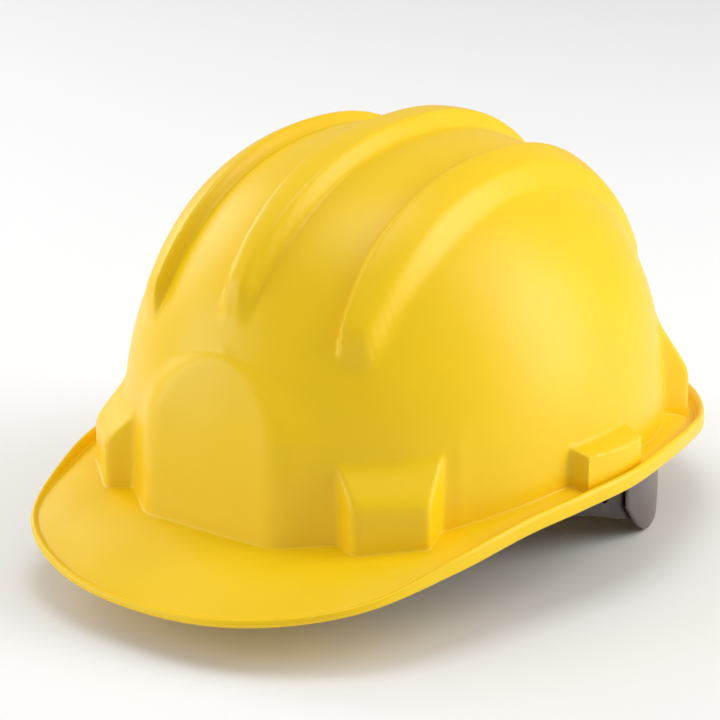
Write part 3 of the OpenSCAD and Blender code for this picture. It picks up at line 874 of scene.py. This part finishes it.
# ---------------------------------------------------------------- padding
def inflate(piece, voxel, cap):
    """The stuffed shape of a closed mesh: cloth under pressure, with no point moving past cap."""
    mesh = piece.modifiers.new("grid", "REMESH")
    mesh.mode = "VOXEL"
    mesh.voxel_size = voxel * MM
    apply_modifiers(piece)
    before = np.zeros(len(piece.data.vertices) * 3)
    piece.data.vertices.foreach_get("co", before)
    cloth = piece.modifiers.new("stuffing", "CLOTH")
    cloth.settings.use_pressure = True
    cloth.settings.uniform_pressure_force = 4
    cloth.settings.effector_weights.gravity = 0
    cloth.settings.quality = 4
    for moment in range(1, 21):
        bpy.context.scene.frame_set(moment)
    deps = bpy.context.evaluated_depsgraph_get()
    swollen = bpy.data.meshes.new_from_object(piece.evaluated_get(deps))
    after = np.zeros(len(swollen.vertices) * 3)
    swollen.vertices.foreach_get("co", after)
    piece.modifiers.clear()
    bpy.context.scene.frame_set(1)
    move = (after - before).reshape(-1, 3)
    far = np.linalg.norm(move, axis=1, keepdims=True)
    limit = cap * MM
    move *= np.where(far > 1e-9, limit * np.tanh(far / limit) / np.maximum(far, 1e-9), 0)
    piece.data.vertices.foreach_set("co", before + move.ravel())
    soften = piece.modifiers.new("soften", "SMOOTH")
    soften.factor = 0.5
    soften.iterations = 3
    finer = piece.modifiers.new("finer", "SUBSURF")
    finer.levels = 1
    finer.render_levels = 1
    apply_modifiers(piece)
    piece.data.polygons.foreach_set("use_smooth", [True] * len(piece.data.polygons))


def edging(name, path, radius, flat=1.0):
    """A bound edge: a soft cord of tape along a closed path of points."""
    count = len(path)
    rings, length, run = [], [], 0.0
    for i, point in enumerate(path):
        ahead = (path[(i + 1) % count] - path[i - 1]).normalized()
        up = Vector((0, 0, 1))
        if abs(ahead.z) >= 0.8:
            up = Vector((ahead.x, ahead.y, 0)).normalized()
        side = ahead.cross(up).normalized()
        up = side.cross(ahead).normalized()
        if i:
            run += (point - path[i - 1]).length
        length.append(run)
        rings.append([
            point + side * radius * math.cos(2 * math.pi * k / 10)
            + up * radius * flat * math.sin(2 * math.pi * k / 10)
            for k in range(10)
        ])
    piece = tube(name, rings, closed=True)
    uv = piece.data.uv_layers.new(name="UVMap")
    for loop in piece.data.loops:
        ring, k = divmod(loop.vertex_index, 10)
        uv.data[loop.index].uv = (length[ring] * MM, k * radius * 0.63 * MM)
    piece.data.materials.append(BINDING)
    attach(piece, "hat")
    return piece


PAD_R = 34


def make_crown_pad():
    """A round foam pad with six sewn channels that meet in the middle."""
    low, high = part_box("crown_pad")
    base, thick = low.z / MM + 0.5, (high.z - low.z) / MM - 1.0
    rings = []
    for i in range(48):
        s, c = sin_cos(i * 7.5)
        radius = PAD_R - 1.6
        rings.append([
            (radius * s, CENTRE_Y + radius * c, base),
            ((radius + 0.9) * s, CENTRE_Y + (radius + 0.9) * c, base + thick / 2),
            (radius * s, CENTRE_Y + radius * c, base + thick),
        ])
    verts = [p for ring in rings for p in ring]
    faces = [tuple(i * 3 + 2 for i in range(48)), tuple(i * 3 for i in reversed(range(48)))]
    for i in range(48):
        a, b = i * 3, (i + 1) % 48 * 3
        faces += [(a, a + 1, b + 1, b), (a + 1, a + 2, b + 2, b + 1)]
    pad = new_piece("crown_cushion", verts, faces)
    inflate(pad, 1.4, 1.2)
    co = np.zeros(len(pad.data.vertices) * 3)
    pad.data.vertices.foreach_get("co", co)
    co = co.reshape(-1, 3) / MM
    x, y = co[:, 0], co[:, 1] - CENTRE_Y
    angle, radius = np.arctan2(x, y), np.hypot(x, y)
    off = np.abs(np.sin(3 * angle)) * np.maximum(radius, 1) / 3
    sewn = np.exp(-((off / 1.3) ** 2)) * smooth((30 - radius) / 3)
    ring = np.exp(-(((radius - 30) / 1.2) ** 2))
    middle = base + thick / 2
    depth = 1 - 0.55 * np.maximum(sewn, ring)
    co[:, 2] = middle + (co[:, 2] - middle) * depth
    pad.data.vertices.foreach_set("co", (co * MM).ravel())
    pad.data.materials.append(PADDING)
    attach(pad, "hat")
    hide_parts("crown_pad")
    circle = []
    for i in range(120):
        s, c = sin_cos(i * 3)
        circle.append(Vector((PAD_R * 0.985 * s, CENTRE_Y + PAD_R * 0.985 * c, middle)))
    edging("crown_binding", circle, 1.25, 1.3)


make_crown_pad()

ARM_R = 90.3
BAND_B = 122
BAND_POWER = 2.2
BAND_T = 1.8


def band_point(angle, out):
    """Plan of the headband at an angle from the back, moved out by a distance."""
    s, c = sin_cos(angle)
    if abs((angle + 180) % 360 - 180) <= 90:
        return (ARM_R + out) * s, NAPE_Y + (ARM_R + out) * c
    share = (abs(s) / (ARM_R + out)) ** BAND_POWER + (abs(c) / (BAND_B + out)) ** BAND_POWER
    r = share ** (-1 / BAND_POWER)
    return r * s, NAPE_Y + r * c


def make_sweatband():
    """A foam strip with sewn edges and upright channels, inside the front of the headband."""
    count, across = 260, 26
    thin, thick, low, high = BAND_T + 1.9, 3.4, 23.5, 53.5
    rings = []
    for i in range(count + 1):
        share = i / count
        angle = 108.5 + 143 * share
        end = float(smooth(min(share, 1 - share) / 0.022))
        channel = 0.62 + 0.38 * abs(math.sin(math.pi * share * 20)) ** 0.5
        ring = []
        for k in range(across + 1):
            v = k / across
            rim = min(v, 1 - v)
            puff = (0.35 + 0.65 * float(smooth(rim / 0.16))) * (channel if rim > 0.1 else 0.9)
            puff *= 0.3 + 0.7 * end
            ring.append((*band_point(angle, -thin - thick * puff), low + (high - low) * v))
        for k in range(across, -1, -1):
            ring.append((*band_point(angle, -thin), low + (high - low) * k / across))
        rings.append(ring)
    pad = tube("brow_pad", rings)
    pad.data.materials.append(PADDING)
    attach(pad, "hat")
    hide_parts("sweatband")
    for edge, z in (("low", low + 0.1), ("high", high - 0.1)):
        path = [Vector((*band_point(109.5 + 141 * i / 150, -thin - 1.4), z)) for i in range(151)]
        path += [Vector((*band_point(250.5 - 141 * i / 150, -thin - 0.5), z)) for i in range(151)]
        edging("brow_binding_" + edge, path, 0.75)


make_sweatband()


def make_nape_pad():
    """A soft pad on the inside of the nape strap."""
    low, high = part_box("nape_pad")
    outer, inner = 81.6, 78.3
    bottom, top = low.z / MM + 0.8, high.z / MM - 0.8
    rings = []
    for i in range(41):
        angle = -29.4 + 58.8 * i / 40
        s, c = sin_cos(angle)
        rings.append([
            (inner * s, NAPE_Y + inner * c, bottom + 1),
            (inner * s, NAPE_Y + inner * c, top - 1),
            (outer * s, NAPE_Y + outer * c, top),
            (outer * s, NAPE_Y + outer * c, bottom),
        ])
    pad = tube("nape_cushion", rings)
    inflate(pad, 1.4, 1.1)
    co = np.zeros(len(pad.data.vertices) * 3)
    pad.data.vertices.foreach_get("co", co)
    co = co.reshape(-1, 3) / MM
    x, y = co[:, 0], co[:, 1] - NAPE_Y
    angle, radius = np.degrees(np.arctan2(x, y)), np.hypot(x, y)
    sewn = np.exp(-((((angle + 30) % 12 - 6) / 0.9) ** 2)) * smooth((26 - np.abs(angle)) / 3)
    pressed = np.where(radius < outer - 1, (outer - radius) * 0.4 * sewn, 0)
    co[:, 0] *= (radius + pressed) / radius
    co[:, 1] = NAPE_Y + y * (radius + pressed) / radius
    pad.data.vertices.foreach_set("co", (co * MM).ravel())
    pad.data.materials.append(PADDING)
    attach(pad, "hat")
    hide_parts("nape_pad")


make_nape_pad()


# ---------------------------------------------------------------- floor, light and camera
def area_light(name, at, size, power):
    data = bpy.data.lights.new(name, "AREA")
    data.shape = "RECTANGLE"
    data.size, data.size_y = size
    data.energy = power
    lamp = bpy.data.objects.new(name, data)
    bpy.context.scene.collection.objects.link(lamp)
    lamp.location = at
    aim = Vector((0, 0, 0.08))
    lamp.rotation_euler = (aim - Vector(at)).to_track_quat("-Z", "Y").to_euler()


def make_floor():
    mesh = bpy.data.meshes.new("studio_floor")
    mesh.from_pydata([(-6, -6, 0), (6, -6, 0), (6, 6, 0), (-6, 6, 0)], [], [(0, 1, 2, 3)])
    floor = bpy.data.objects.new("studio_floor", mesh)
    bpy.context.scene.collection.objects.link(floor)
    mat, tree, shader = material("floor white")
    shader.inputs["Base Color"].default_value = (0.93, 0.93, 0.93, 1)
    shader.inputs["Roughness"].default_value = 0.8
    mesh.materials.append(mat)


def make_camera():
    azimuth, elevation, distance = math.radians(36.36), math.radians(17.8), 1.2118
    target = Vector((0, 0.008, 0.0882))
    back = Vector((
        math.sin(azimuth) * math.cos(elevation),
        -math.cos(azimuth) * math.cos(elevation),
        math.sin(elevation),
    ))
    data = bpy.data.cameras.new("view")
    data.lens = 151.35
    data.sensor_width = 36
    data.shift_x = -0.0507
    data.shift_y = -0.0643
    data.clip_start = 0.05
    camera = bpy.data.objects.new("view", data)
    bpy.context.scene.collection.objects.link(camera)
    camera.location = target + distance * back
    camera.rotation_euler = (-back).to_track_quat("-Z", "Y").to_euler()
    bpy.context.scene.camera = camera


def make_studio():
    """Soft boxes at the two sides and above, and a pale surround."""
    bpy.context.scene.view_settings.view_transform = "Standard"
    world = bpy.data.worlds.new("studio")
    bpy.context.scene.world = world
    world.use_nodes = True
    world.node_tree.nodes["Background"].inputs["Color"].default_value = (1, 1, 1, 1)
    world.node_tree.nodes["Background"].inputs["Strength"].default_value = 0.44
    soft = (0.9, 0.9)
    area_light("left low box", (-1.22, -1.1, 0.46), soft, 8.6)
    area_light("left rear box", (-1.53, 0.13, 0.77), soft, 7.5)
    area_light("right low box", (1.42, 0.84, 0.46), soft, 10.4)
    area_light("right high box", (1.14, 0.68, 1.11), soft, 7.8)
    area_light("top box", (0, 0, 1.75), soft, 7.5)


make_floor()
make_camera()
make_studio()
